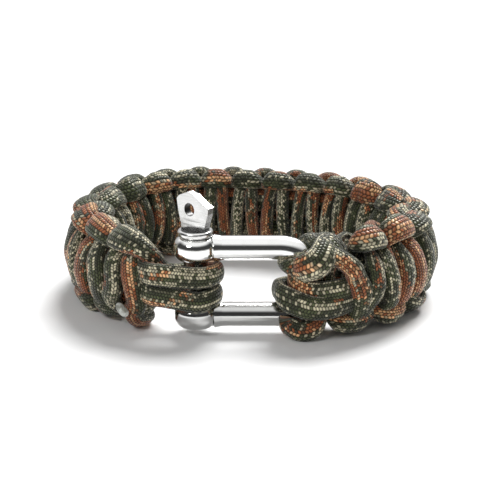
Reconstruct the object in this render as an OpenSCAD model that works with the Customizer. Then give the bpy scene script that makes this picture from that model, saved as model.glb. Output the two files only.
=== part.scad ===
// Bracelet of woven cord, lying on its edge, closed by a bow shackle with a screw pin.
// Lengths are in millimetres. +Z is up, the shackle is at the front (-Y), its pin at -X.

/* [Band] */
// Mean radius of the band's middle line
band_radius = 32.6; // [30:0.2:38]
// Width of the woven band, which is its height as it lies
band_width = 19.8; // [18:0.1:21]
// Thickness of the band through core and both faces
band_thick = 12.0; // [11:0.1:14]
// Direction, seen from above, in which the weave starts beside the bow
weave_start = 303.5; // [302:0.5:307]
// Direction in which the weave ends beside the pin, a turn further on
weave_end = 593; // [588:0.5:594]
// Depth of the groove between two bars of the weave
bar_groove = 1.1; // [0.2:0.1:1.4]
// Depth of the gap between two bumps along the edges
edge_notch = 1.2; // [0.2:0.1:1.4]

/* [Cord] */
// Thickness of the cord where it is pressed flat
cord_thick = 2.8; // [2.4:0.1:3.2]
// Height of the cord where it is pressed flat
cord_high = 4.0; // [3.8:0.05:4.3]
// Length of the melted cord end that shows beside the last bar
stub_len = 3.4; // [2:0.1:5]
// Diameter of the melted cord end
stub_dia = 2.6; // [2:0.1:3]

/* [Shackle] */
// Diameter of the bent rod
rod_dia = 5; // [4.6:0.1:5.4]
// Clear gap between the two arms
jaw = 9; // [9:0.1:11]
// Clear length from the pin to the inside of the bend
inside_len = 18.8; // [17:0.1:22]
// Diameter of the two ears
ear_dia = 8.8; // [8:0.1:9.4]
// Radius of the rounding on the ears' rims
ear_round = 2; // [0.5:0.1:2]
// Place of the shackle's middle line in front of the band's centre
shackle_front = 28; // [27:0.1:29]
// Place of the pin's axis to the left of the band's centre
pin_left = 11.3; // [10.6:0.1:11.4]
// Height of the lower ear above the surface that the band lies on
shackle_lift = 1.5; // [1.4:0.1:2]

/* [Pin] */
// Diameter of the pin's shank
pin_dia = 5; // [4.5:0.1:5.2]
// Radial clearance between the shank and its bores
pin_play = 0.05; // [0.02:0.01:0.1]
// Pitch of the thread at the pin's lower end
thread_pitch = 0.8; // [0.7:0.05:1]
// Depth of the thread
thread_deep = 0.45; // [0.3:0.05:0.5]
// Diameter of the collar that seats on the upper ear
collar_dia = 7.2; // [6.6:0.1:8]
// Height of the collar
collar_high = 1.4; // [1:0.1:2]
// Height of the flat head above the collar
head_high = 7.6; // [6.5:0.1:9]
// Greatest width of the flat head
head_wide = 8.4; // [7:0.1:9]
// Thickness of the flat head
head_thick = 1.6; // [1.4:0.1:2.4]
// Diameter of the eye through the head
eye_dia = 2.5; // [2:0.1:3]
// Turn of the head's face away from the front
head_turn = 40; // [0:1:90]

/* [Hidden] */
$fn = 64;
tiny = 0.01;
olive = [0.30, 0.33, 0.24];
ash = [0.62, 0.62, 0.58];
steel = [0.78, 0.78, 0.80];

// The ring lies evenly about the origin when its middle line is moved by this much
ring_shift = [0.29, 0.08];
// Gap that a cord keeps from the metal and from the next cord
cord_gap = 0.2;
// Gap that a cord keeps from the pin, which moves past it
pin_gap = 0.3;

rod_r = rod_dia / 2;
bend_r = jaw / 2 + rod_r;
shackle_y = ring_shift[1] - shackle_front;
shackle_z = bend_r + rod_r + shackle_lift;
pin_x = ring_shift[0] - pin_left;
bend_x = pin_x + pin_dia / 2 + inside_len - jaw / 2;
ear_r = ear_dia / 2;
ear_high = rod_dia;
bore_r = pin_dia / 2 + pin_play;
shank_low = shackle_z - bend_r - ear_high / 2;
shank_top = shackle_z + bend_r + ear_high / 2;

// Shape of the ring seen from above: waves round it, as shares of its mean radius
// columns: waves in one turn, cosine share, sine share
ring_waves = [
  [1, -0.019, -0.026],
  [2, 0.066, -0.037],
  [3, 0.010, 0.008],
  [4, -0.019, 0.011]
];

function total(v, i = 0) = i < len(v) ? v[i] + total(v, i + 1) : 0;
function unit(v) = v / norm(v);
function ring_r(a) =
  band_radius * (1 + total([for (w = ring_waves) w[1] * cos(w[0] * a) + w[2] * sin(w[0] * a)]));
function ring_pt(a) = ring_shift + ring_r(a) * [cos(a), sin(a)];
function ring_dir(a) = unit(ring_pt(a + 1) - ring_pt(a - 1));
function ring_out(a) = [ring_dir(a)[1], -ring_dir(a)[0]];

// Length along the middle line, from the start of the weave, against direction
scan = [for (a = [weave_start : 3 : weave_end + 3]) a];
scan_step = [for (i = [1 : len(scan) - 1]) norm(ring_pt(scan[i]) - ring_pt(scan[i - 1]))];
function run(n, i = 0) = i < n ? scan_step[i] + run(n, i + 1) : 0;
length_to_angle = [for (i = [0 : len(scan) - 1]) [run(i), scan[i]]];
angle_to_length = [for (row = length_to_angle) [row[1], row[0]]];
weave_len = lookup(weave_end, angle_to_length);

// Places of the bars, one for each half knot, as shares of the weave's length; the knots are
// wider apart at both sides of the ring than behind and beside the shackle
bar_shares = [
  0.0042, 0.0257, 0.0472, 0.0717, 0.1010, 0.1354, 0.1686, 0.2021, 0.2348, 0.2668,
  0.2973, 0.3263, 0.3524, 0.3757, 0.3989, 0.4219, 0.4445, 0.4666, 0.4887, 0.5108,
  0.5333, 0.5560, 0.5788, 0.6019, 0.6256, 0.6501, 0.6761, 0.7036, 0.7332, 0.7649,
  0.7975, 0.8310, 0.8644, 0.8979, 0.9296, 0.9583, 0.9786, 0.9942
];
bars = len(bar_shares);
all_shares = concat([0], bar_shares, [1]);
length_to_bar = [for (i = [0 : bars + 1]) [all_shares[i] * weave_len, i]];
bar_to_length = [for (row = length_to_bar) [row[1], row[0]]];

// Closed tube through rings of points, each ring given in the same turning sense
module skin(rings) {
  n = len(rings[0]);
  m = len(rings);
  points = [for (ring = rings) for (p = ring) p];
  sides = [
    for (i = [0 : m - 2]) for (j = [0 : n - 1])
      for (t = [
        [i * n + j, i * n + (j + 1) % n, (i + 1) * n + j],
        [i * n + (j + 1) % n, (i + 1) * n + (j + 1) % n, (i + 1) * n + j]
      ]) t
  ];
  first_end = [for (j = [1 : n - 2]) [0, j + 1, j]];
  far = (m - 1) * n;
  last_end = [for (j = [1 : n - 2]) [far, far + j, far + j + 1]];
  polyhedron(points, concat(sides, first_end, last_end), convexity = 10);
}

// Rounded rectangle of a cord or the band: x is a share of the thickness, y of the height
function soft_x(t, power) = sign(cos(t)) * pow(abs(cos(t)), power);
function soft_y(t, power) = sign(sin(t)) * pow(abs(sin(t)), power);

// Weave

band_sides = 24;
steps_per_bar = 4;
band_power = 0.78;
// Rounded shoulders: how much of the section is left at the very ends of the weave
shoulder = 0.72;
shoulder_len = 3;
// Length over which the rings lean until the end faces stand square to the shackle
lean_len = 9;

// Bars cross the faces at a slant that changes hand with every half knot
bar_slant = 0.25;
function bar_phase(k, v, hand) = k - v * hand * bar_slant * cos(180 * k);
function face_dip(k, v, hand) = bar_groove * (0.5 - 0.5 * cos(360 * bar_phase(k, v, hand)));

// Bumps take turns along the four edges: outer and inner ones, and upper and lower ones
first_bump = 2.5;
function edge_dip(k, outer, upper) =
  0.5 - 0.5 * cos(180 * (k - first_bump + (outer ? 0 : 1) + (upper ? 0 : 1)));
function end_share(s) =
  let(d = min(s, weave_len - s))
  d < shoulder_len ? shoulder + (1 - shoulder) * sin(90 * d / shoulder_len) : 1;
function lean(s, dir) =
  let(d = min(s, weave_len - s))
  d < lean_len ? (1 - d / lean_len) * dir[1] / dir[0] : 0;

function band_ring(k) =
  let(
    s = lookup(k, bar_to_length),
    a = lookup(s, length_to_angle),
    c = ring_pt(a),
    out = ring_out(a),
    dir = ring_dir(a),
    share = end_share(s)
  )
  [
    for (j = [0 : band_sides - 1])
      let(
        t = 360 * j / band_sides,
        x = soft_x(t, band_power),
        y = soft_y(t, band_power),
        dip = edge_notch * edge_dip(k, x > 0, y > 0) * abs(y),
        depth = (band_thick / 2 - face_dip(k, y, sign(x)) - dip / 2) * x * share,
        up = (band_width / 2 - dip) * y * share,
        spot = c + out * depth - dir * depth * lean(s, dir)
      )
      [spot[0], spot[1], band_width / 2 + up]
  ];

module woven_band() {
  count = (bars + 1) * steps_per_bar;
  color(olive)
    skin([for (i = [0 : count]) band_ring(i / steps_per_bar)]);
}

// Melted end of the cord, pushed out beside the last bars at the lower edge
stub_angle = weave_end - 5;
stub_up = 5.8;
stub_depth = 0.86;
stub_fall = 42;

module melted_end() {
  out = ring_out(stub_angle);
  dir = ring_dir(stub_angle);
  reach = band_thick / 2 * stub_depth + stub_dia / 2;
  spot = ring_pt(stub_angle) + out * reach;
  color(ash)
    translate([spot[0], spot[1], stub_up])
      rotate([0, 0, atan2(dir[1], dir[0])])
        rotate([0, 90 + stub_fall, 0])
          rotate_extrude($fn = 20)
            polygon([
              for (k = [0 : 5]) [stub_dia / 2 * sin(18 * k), -stub_len / 2 * cos(18 * k)],
              for (k = [4 : -1 : 0]) [stub_dia / 2 * sin(18 * k), stub_len / 2 * cos(18 * k)]
            ]);
}

// Shackle

module round_disc(r, high, edge) {
  rotate_extrude()
    union() {
      square([r - edge, high]);
      translate([0, edge])
        square([r, high - 2 * edge]);
      translate([r - edge, edge])
        circle(edge, $fn = 32);
      translate([r - edge, high - edge])
        circle(edge, $fn = 32);
    }
}

neck_r = rod_r * 1.12;
neck_len = 1.6;
neck_sink = 0.7;

module arm(side) {
  z = shackle_z + side * bend_r;
  translate([pin_x, shackle_y, z - ear_high / 2])
    round_disc(ear_r, ear_high, ear_round);
  translate([pin_x, shackle_y, z])
    rotate([0, 90, 0])
      cylinder(h = bend_x - pin_x + tiny, r = rod_r);
  translate([pin_x + ear_r - neck_sink, shackle_y, z])
    rotate([0, 90, 0])
      cylinder(h = neck_len, r1 = neck_r, r2 = rod_r);
}

module shackle_bow() {
  color(steel)
    difference() {
      union() {
        arm(1);
        arm(-1);
        translate([bend_x, shackle_y, shackle_z])
          rotate([90, 0, 0])
            rotate([0, 0, -90])
              rotate_extrude(angle = 180)
                translate([bend_r, 0])
                  circle(rod_r);
      }
      translate([pin_x, shackle_y, shank_low - 1])
        cylinder(h = shank_top - shank_low + 2, r = bore_r);
    }
}

// Outline of the flat head: share of half its width, share of its height
head_outline = [
  [-0.72, 0], [-0.74, 0.16], [-0.88, 0.42], [-1.00, 0.78], [-0.82, 0.88], [-0.30, 1.00],
  [0.10, 0.95], [0.62, 0.78], [1.00, 0.68], [0.96, 0.52], [0.82, 0.28], [0.74, 0.12], [0.72, 0]
];
eye_aside = -0.2;
eye_up = 0.53;
head_sink = 0.3;

function shank_profile() =
  let(
    r = pin_dia / 2,
    turns = floor(ear_high / thread_pitch)
  )
  concat(
    [[0, shank_low], [r - thread_deep, shank_low]],
    [
      for (i = [0 : turns - 1])
        for (p = [[r - thread_deep, 0.15], [r, 0.45], [r, 0.55], [r - thread_deep, 0.85]])
          [p[0], shank_low + (i + p[1]) * thread_pitch]
    ],
    [
      [r - thread_deep, shank_low + turns * thread_pitch],
      [r, shank_low + turns * thread_pitch + thread_deep],
      [r, shank_top + collar_high / 2],
      [0, shank_top + collar_high / 2]
    ]
  );

module shackle_pin() {
  color(steel)
    translate([pin_x, shackle_y, 0])
      union() {
        rotate_extrude()
          polygon(shank_profile());
        translate([0, 0, shank_top])
          round_disc(collar_dia / 2, collar_high, collar_high * 0.4);
        rotate([0, 0, -head_turn])
          difference() {
            translate([0, head_thick / 2, shank_top + collar_high - head_sink])
              rotate([90, 0, 0])
                linear_extrude(head_thick)
                  polygon([
                    for (p = head_outline)
                      [p[0] * head_wide / 2, p[1] * (head_high + head_sink)]
                  ]);
            translate([
              eye_aside * head_wide / 2, head_thick, shank_top + collar_high + eye_up * head_high
            ])
              rotate([90, 0, 0])
                cylinder(h = 2 * head_thick, r = eye_dia / 2);
          }
      }
}

// Cord loops

cord_sides = 10;
cord_power = 0.85;

// Ring of cord round one point of its route; up is the direction of its height there
function cord_ring(p, along, up) =
  let(aside = unit(cross(along, up)), rise = unit(cross(aside, along)))
  [
    for (j = [0 : cord_sides - 1])
      let(t = 360 * j / cord_sides)
      p + aside * soft_x(t, cord_power) * cord_thick / 2 + rise * soft_y(t, cord_power) * cord_high / 2
  ];

// The cord stands upright at both ends of its route and turns to up_mid on the way
module cord(route, up_mid) {
  last = len(route) - 1;
  skin([
    for (i = [0 : last])
      let(
        along = unit(route[min(i + 1, last)] - route[max(i - 1, 0)]),
        share = pow(sin(180 * i / last), 0.6)
      )
      cord_ring(route[i], along, [0, 0, 1] * (1 - share) + up_mid * share)
  ]);
}

// Smooth stretch between two points that leaves and arrives in given directions
function ease(p, q, leave, arrive, n) = [
  for (i = [0 : n])
    let(t = i / n)
    p * (1 - t) * (1 - t) * (1 + 2 * t) + q * t * t * (3 - 2 * t)
    + leave * t * (1 - t) * (1 - t) - arrive * t * t * (1 - t)
];

function without_first(v) = [for (i = [1 : len(v) - 1]) v[i]];
function reversed(v) = [for (i = [len(v) - 1 : -1 : 0]) v[i]];

// Leg of a loop from its seat on the weave to the point where it starts to turn
// home: direction of the weave, swing: how far the leg swings over before it turns
function leg(from, to, home, swing) =
  ease(from, to, -home * norm(to - from), swing, leg_steps);

// Loop that comes from the weave, turns round the metal and goes back to the weave
// c: middle of the turn, apex: direction of its far side, half: its reach towards the apex,
// front and back: its reach across, swing: how far its legs swing over, seats: its two ends
function loop_route(c, apex, half, front, back, home, swing, seats) =
  let(
    turn = [
      for (a = [-90 : 22.5 : 90])
        c + apex * half * cos(a) + [0, (a < 0 ? front : back) * sin(a), 0]
    ],
    last = turn[len(turn) - 1]
  )
  concat(
    leg(seats[0], turn[0], home, apex * swing),
    without_first(turn),
    without_first(reversed(leg(seats[1], last, home, apex * swing)))
  );

// Seats of a loop's two legs on an end of the weave, each apart from the weave's middle line
function seats(angle, z, off, apart) =
  let(dir = ring_dir(angle))
  [
    for (depth = [apart, -apart])
      let(c = ring_pt(angle) + ring_out(angle) * depth - dir * depth * dir[1] / dir[0])
      [c[0] + off, c[1], z]
  ];

leg_steps = 4;
leg_apart = cord_thick;
cross_apart = cord_thick * 1.2;
seat_gap = 0.5;
pair_up = cord_high / 2 + cord_gap / 2;
level_swing = 6;
pin_loop_half = pin_dia / 2 + pin_gap + cord_thick / 2;
rod_loop_half = rod_r + cord_gap + cord_thick / 2;

module pin_loop(side) {
  z = shackle_z + side * pair_up;
  color(olive)
    cord(
      loop_route(
        [pin_x, shackle_y, z], [1, 0, 0], pin_loop_half, pin_loop_half, pin_loop_half,
        [-1, 0, 0], level_swing, seats(weave_end, z, seat_gap, leg_apart)
      ),
      [0, 0, 1]
    );
}

module pin_loop_upper() {
  pin_loop(1);
}

module pin_loop_lower() {
  pin_loop(-1);
}

// Middle loops lie level in the end of the jaw, the lower one further in and further out in front
// level_out: how far the middle of the upper one stays off the bend's middle, in thicknesses
level_out = 0.35;
level_x = bend_x + sqrt(bend_r * bend_r - pair_up * pair_up);
level_half = level_x - bend_x - cord_thick * level_out;
lower_bulge = 2.2;
lower_front = 2.4;

module level_loop(side, more, front) {
  color(olive)
    cord(
      loop_route(
        [level_x, shackle_y, shackle_z + side * pair_up], [-1, 0, 0], level_half + more,
        rod_loop_half + front, rod_loop_half, [1, 0, 0], level_swing,
        seats(weave_start, shackle_z + side * pair_up, -seat_gap, leg_apart)
      ),
      [0, 0, 1]
    );
}

module bow_loop_upper() {
  level_loop(1, 0, 0);
}

module bow_loop_lower() {
  level_loop(-1, lower_bulge, lower_front);
}

// Outer loops cross the bend on its outer side, one above and one below
top_angle = 66;
bottom_angle = -57;
cross_swing = 0.3;

module crossing_loop(angle) {
  side = sign(angle);
  around = [cos(angle), 0, sin(angle)];
  z_seat = shackle_z + side * (3 * pair_up + cord_gap);
  color(olive)
    cord(
      loop_route(
        [bend_x, shackle_y, shackle_z] + around * bend_r, around, rod_loop_half,
        rod_loop_half, rod_loop_half, [1, 0, 0], cross_swing,
        seats(weave_start, z_seat, -seat_gap, cross_apart)
      ),
      cross(around, [0, side, 0])
    );
}

module bow_loop_top() {
  crossing_loop(top_angle);
}

module bow_loop_bottom() {
  crossing_loop(bottom_angle);
}

woven_band();
melted_end();
shackle_bow();
shackle_pin();
pin_loop_upper();
pin_loop_lower();
bow_loop_top();
bow_loop_upper();
bow_loop_lower();
bow_loop_bottom();
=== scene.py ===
import math
from functools import partial

import bmesh
import bpy
import numpy as np
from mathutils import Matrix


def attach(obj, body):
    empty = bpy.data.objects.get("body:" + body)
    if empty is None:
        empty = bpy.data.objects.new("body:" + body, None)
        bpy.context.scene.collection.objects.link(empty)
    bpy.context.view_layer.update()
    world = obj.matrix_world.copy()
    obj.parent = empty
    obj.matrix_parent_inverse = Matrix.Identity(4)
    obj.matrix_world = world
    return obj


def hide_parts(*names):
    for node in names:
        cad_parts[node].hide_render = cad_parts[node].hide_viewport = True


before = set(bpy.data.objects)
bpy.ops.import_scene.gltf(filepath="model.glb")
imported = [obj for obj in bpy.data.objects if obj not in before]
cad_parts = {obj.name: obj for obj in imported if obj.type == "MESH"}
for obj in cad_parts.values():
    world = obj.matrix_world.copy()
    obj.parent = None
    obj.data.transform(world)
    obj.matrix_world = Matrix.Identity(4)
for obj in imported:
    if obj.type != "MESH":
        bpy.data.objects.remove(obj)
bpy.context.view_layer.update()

mm = 0.001
print("Frame loaded")


# Camera: the photo looks about 17 degrees down on the bracelet from some 350 mm away
camera = dict(
    aim=(0.29, 0.08, 9.5),
    distance=350.0,
    tilt=16.93,
    lens=115.51,
    sensorWidth=36,
    shift=(-0.004, -0.0046),
    clip=(0.01, 20),
)


# Every object goes into the scene's collection
def newObject(name, data):
    obj = bpy.data.objects.new(name, data)
    bpy.context.collection.objects.link(obj)
    return obj


def addCamera(c):
    data = bpy.data.cameras.new("studio_camera")
    data.lens = c["lens"]
    data.sensor_width = c["sensorWidth"]
    data.shift_x, data.shift_y = c["shift"]
    data.clip_start, data.clip_end = c["clip"]
    obj = newObject("studio_camera", data)
    tilt = math.radians(c["tilt"])
    x, y, z = c["aim"]
    obj.location = (
        x * mm,
        (y - c["distance"] * math.cos(tilt)) * mm,
        (z + c["distance"] * math.sin(tilt)) * mm,
    )
    obj.rotation_euler = (math.pi / 2 - tilt, 0, 0)
    bpy.context.scene.camera = obj


addCamera(camera)
print("Camera placed")


# Small helpers for node trees
def wire(tree, source, target):
    if hasattr(source, "is_output"):
        tree.links.new(source, target)
    else:
        target.default_value = source


def calc(tree, operation, *values):
    node = tree.nodes.new("ShaderNodeMath")
    node.operation = operation
    for value, socket in zip(values, node.inputs):
        wire(tree, value, socket)
    return node.outputs[0]


def calcVector(tree, operation, *values):
    node = tree.nodes.new("ShaderNodeVectorMath")
    node.operation = operation
    named = {socket.identifier: socket for socket in node.inputs}
    for value, name in zip(values, ("Vector", "Vector_001")):
        wire(tree, value, named[name])
    return node


def scaled(tree, direction, factor):
    node = calcVector(tree, "SCALE", direction)
    wire(tree, factor, node.inputs["Scale"])
    return node.outputs[0]


def vector(tree, x, y, z):
    node = tree.nodes.new("ShaderNodeCombineXYZ")
    for value, socket in zip((x, y, z), node.inputs):
        wire(tree, value, socket)
    return node.outputs[0]


def spread(tree, value, low, high, toLow=0.0, toHigh=1.0):
    node = tree.nodes.new("ShaderNodeMapRange")
    node.interpolation_type = "SMOOTHSTEP"
    settings = {"Value": value, "From Min": low, "From Max": high, "To Min": toLow, "To Max": toHigh}
    for name, setting in settings.items():
        wire(tree, setting, node.inputs[name])
    return node.outputs[0]


def blendColour(tree, factor, first, second, way="MIX"):
    node = tree.nodes.new("ShaderNodeMix")
    node.data_type = "RGBA"
    node.blend_type = way
    node.clamp_result = False
    named = {socket.identifier: socket for socket in (*node.inputs, *node.outputs)}
    wire(tree, factor, named["Factor_Float"])
    wire(tree, first, named["A_Color"])
    wire(tree, second, named["B_Color"])
    return named["Result_Color"]


def noise(tree, place, scale, detail=2.0, rough=0.5):
    node = tree.nodes.new("ShaderNodeTexNoise")
    wire(tree, place, node.inputs["Vector"])
    wire(tree, scale, node.inputs["Scale"])
    node.inputs["Detail"].default_value = detail
    node.inputs["Roughness"].default_value = rough
    return node.outputs["Fac"]


def whiteNoise(tree, x, y, z=0.0):
    node = tree.nodes.new("ShaderNodeTexWhiteNoise")
    node.noise_dimensions = "3D"
    wire(tree, vector(tree, x, y, z), node.inputs["Vector"])
    return node.outputs["Value"]


def newGroup(name, floats, colours, finish):
    group = bpy.data.node_groups.new(name, "ShaderNodeTree")
    addSocket = group.interface.new_socket
    for label in floats:
        addSocket(name=label, in_out="INPUT", socket_type="NodeSocketFloat")
    for label in colours:
        addSocket(name=label, in_out="INPUT", socket_type="NodeSocketColor")
    for label, kind in (("Colour", "Color"), (finish, "Float"), ("Height", "Float")):
        addSocket(name=label, in_out="OUTPUT", socket_type="NodeSocket" + kind)
    return group, group.nodes.new("NodeGroupInput"), group.nodes.new("NodeGroupOutput")


def useGroup(tree, group, looks):
    # an input called Eye radius takes the value called eyeRadius
    node = tree.nodes.new("ShaderNodeGroup")
    node.node_tree = group
    for socket in node.inputs:
        first, *rest = socket.name.split()
        socket.default_value = looks[first.lower() + "".join(word.capitalize() for word in rest)]
    return node


def colour(r, g, b):
    # from the values on screen to the linear ones that Blender mixes
    def linear(c):
        if c > 10:
            return ((c / 255 + 0.055) / 1.055) ** 2.4
        return c / 255 / 12.92

    return linear(r), linear(g), linear(b), 1.0


# Braided sheath of the cord: stitches in columns that slant to either side in turn
# stitchLength is in cm along the cord, relief in mm
sheath = dict(
    stitchLength=0.056,
    columns=20,
    slant=0.40,
    fleckShare=0.32,
    rustShare=0.39,
    # gap: painted shade, the share of the colour left in the creases between stitches
    gap=0.12,
    relief=0.15,
    olive=colour(43, 51, 27),
    moss=colour(74, 84, 48),
    sage=colour(218, 210, 178),
    rust=colour(164, 90, 46),
    peach=colour(244, 188, 134),
    roughness=0.30,
    gapRoughness=0.85,
    gloss=0.55,
    glossTint=(1.0, 0.96, 0.82, 1.0),
    sheen=0.22,
    sheenRoughness=0.4,
)

# How the dye and the light stitches are spread over the cord, and the painted shade in the creases between
# the stitches
dyeAndCreaseShade = dict(
    # each stitch is a small bead: powers of its rounding along and across
    beadRounding=(1.7, 1.9),
    # beadShade: painted shade, the bead heights over which the colour falls to the gap share in the
    # creases; stitchShade: a random tone for each stitch
    beadShade=(0.06, 0.70),
    beadGloss=(0.1, 0.8),
    stitchShade=(0.62, 1.12),
    # the dye's noise, as scale and detail: how fast it changes along the cord and from column to column
    dyeNoise=(1.0, 1.0),
    dyeAlong=0.75,
    dyeAcross=0.13,
    dyeSlice=0.5,
    dyeSpeckle=0.06,
    # the dye's limit at a rust share of nothing, and how far a full share lowers it
    dyeLimit=0.80,
    dyeFall=0.55,
    dyeEdge=0.03,
    mossNoise=(3.1, 1.0),
    mossEdge=(0.4, 0.65),
    # light stitches come in stretches of a few columns, two columns at a time
    fleckStretch=0.9,
    fleckShift=0.37,
    fleckPair=2.0,
    pairWeight=0.65,
    columnWeight=0.35,
    fleckEdge=(0.92, 0.96),
    # the odd rows of a stretch are light more often; the offset keeps their count positive
    oddRow=0.5,
    rowOffset=40.0,
    dotEdge=(0.45, 0.6),
    strayEdge=(0.88, 0.91),
    strayLight=0.7,
)
# one slice of the white noise for each use
dyeSeeds = dict(stitch=3.0, stray=5.0, pair=7.0, column=9.0, dot=11.0)


def braidGroup(d, seeds):
    group, given, put = newGroup(
        "Braided sheath",
        ("Stitch length", "Columns", "Slant", "Fleck share", "Rust share", "Gap"),
        ("Olive", "Moss", "Sage", "Rust", "Peach"),
        "Gloss",
    )
    g = given.outputs
    maths = partial(calc, group)
    spot = group.nodes.new("ShaderNodeUVMap")
    spot.uv_map = "UVMap"
    split = group.nodes.new("ShaderNodeSeparateXYZ")
    wire(group, spot.outputs[0], split.inputs[0])
    along, turn = split.outputs[0], split.outputs[1]
    column = maths("MULTIPLY", turn, g["Columns"])
    columnId = maths("FLOOR", column)
    columnPart = maths("FRACT", column)

    # odd columns slant the other way and start half a stitch later
    side = maths("MODULO", columnId, 2.0)
    lean = maths("SUBTRACT", 1.0, maths("MULTIPLY", side, 2.0))
    lean = maths("MULTIPLY", lean, g["Slant"])
    lean = maths("MULTIPLY", lean, maths("SUBTRACT", columnPart, 0.5))
    row = maths("DIVIDE", along, g["Stitch length"])
    row = maths("ADD", maths("ADD", row, lean), maths("MULTIPLY", side, 0.5))
    rowId = maths("FLOOR", row)
    rowPart = maths("FRACT", row)

    # highest in the middle of the stitch
    def hump(part, power):
        away = maths("ABSOLUTE", maths("SUBTRACT", maths("MULTIPLY", part, 2.0), 1.0))
        return maths("SUBTRACT", 1.0, maths("POWER", away, power))

    alongPower, acrossPower = d["beadRounding"]
    bead = maths("MULTIPLY", hump(rowPart, alongPower), hump(columnPart, acrossPower))

    # dyed stretches of the yarn
    chance = whiteNoise(group, rowId, columnId, seeds["stitch"])
    dyeX = maths("MULTIPLY", along, d["dyeAlong"])
    dyeY = maths("MULTIPLY", columnId, d["dyeAcross"])
    dyePlace = vector(group, dyeX, dyeY, d["dyeSlice"])
    speckle = maths("MULTIPLY", chance, d["dyeSpeckle"])
    dye = maths("ADD", noise(group, dyePlace, *d["dyeNoise"]), speckle)
    dyeLine = maths("SUBTRACT", d["dyeLimit"], maths("MULTIPLY", g["Rust share"], d["dyeFall"]))
    rusty = spread(group, dye, dyeLine, maths("ADD", dyeLine, d["dyeEdge"]))
    mossy = spread(group, noise(group, dyePlace, *d["mossNoise"]), *d["mossEdge"])

    # light stitches in a few neighbouring columns, and stray ones
    stretch = maths("MULTIPLY", along, d["fleckStretch"])
    stretch = maths("FLOOR", maths("MULTIPLY_ADD", columnId, d["fleckShift"], stretch))
    pair = maths("FLOOR", maths("DIVIDE", columnId, d["fleckPair"]))
    lucky = maths("MULTIPLY", whiteNoise(group, pair, stretch, seeds["pair"]), d["pairWeight"])
    ownLuck = whiteNoise(group, columnId, stretch, seeds["column"])
    lucky = maths("MULTIPLY_ADD", ownLuck, d["columnWeight"], lucky)
    low, high = (maths("SUBTRACT", edge, g["Fleck share"]) for edge in d["fleckEdge"])
    flecked = spread(group, lucky, low, high)
    every = maths("MODULO", maths("ADD", rowId, d["rowOffset"]), 2.0)
    dot = maths("MULTIPLY_ADD", every, d["oddRow"], whiteNoise(group, rowId, columnId, seeds["dot"]))
    bright = maths("MULTIPLY", flecked, spread(group, dot, *d["dotEdge"]))
    stray = whiteNoise(group, rowId, columnId, seeds["stray"])
    bright = maths("MAXIMUM", bright, spread(group, stray, *d["strayEdge"], 0.0, d["strayLight"]))

    ground = blendColour(group, mossy, g["Olive"], g["Moss"])
    ground = blendColour(group, rusty, ground, g["Rust"])
    fleck = blendColour(group, rusty, g["Sage"], g["Peach"])
    shown = blendColour(group, bright, ground, fleck)
    # painted shade: the colour falls towards the gap share in the creases between stitches; each stitch
    # also gets a random tone
    shade = spread(group, bead, *d["beadShade"], g["Gap"], 1.0)
    shade = maths("MULTIPLY", shade, spread(group, chance, 0.0, 1.0, *d["stitchShade"]))
    shown = blendColour(group, 1.0, shown, vector(group, shade, shade, shade), "MULTIPLY")
    wire(group, shown, put.inputs["Colour"])
    wire(group, spread(group, bead, *d["beadGloss"]), put.inputs["Gloss"])
    wire(group, bead, put.inputs["Height"])
    return group


def newMaterial(name):
    material = bpy.data.materials.new(name)
    material.use_nodes = True
    return material, material.node_tree, material.node_tree.nodes["Principled BSDF"]


def addBump(tree, shader, height, strength, distance):
    bump = tree.nodes.new("ShaderNodeBump")
    bump.inputs["Strength"].default_value = strength
    bump.inputs["Distance"].default_value = distance
    wire(tree, height, bump.inputs["Height"])
    wire(tree, bump.outputs[0], shader.inputs["Normal"])


def cordMaterial(s):
    material, tree, shader = newMaterial("braided_nylon")
    group = useGroup(tree, braidGroup(dyeAndCreaseShade, dyeSeeds), s)
    wire(tree, group.outputs["Colour"], shader.inputs["Base Color"])
    addBump(tree, shader, group.outputs["Height"], 1.0, s["relief"] * mm)
    rough = spread(tree, group.outputs["Gloss"], 0.0, 1.0, s["gapRoughness"], s["roughness"])
    wire(tree, rough, shader.inputs["Roughness"])
    shader.inputs["Specular IOR Level"].default_value = s["gloss"]
    shader.inputs["Specular Tint"].default_value = s["glossTint"]
    shader.inputs["Sheen Weight"].default_value = s["sheen"]
    shader.inputs["Sheen Roughness"].default_value = s["sheenRoughness"]
    return material


braidedNylon = cordMaterial(sheath)
print("Cord material made")


# Cords are swept along their paths with a pressed, rounded section
# step and endLength in mm; the looks count along a cord in units of 10 mm, 60 mm on for each next line
cordSection = dict(
    sides=24,
    softness=0.94,
    step=0.45,
    endLength=1.4,
    lookUnit=10,
    lookShift=60,
    weldWithin=1e-7,
)


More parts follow.
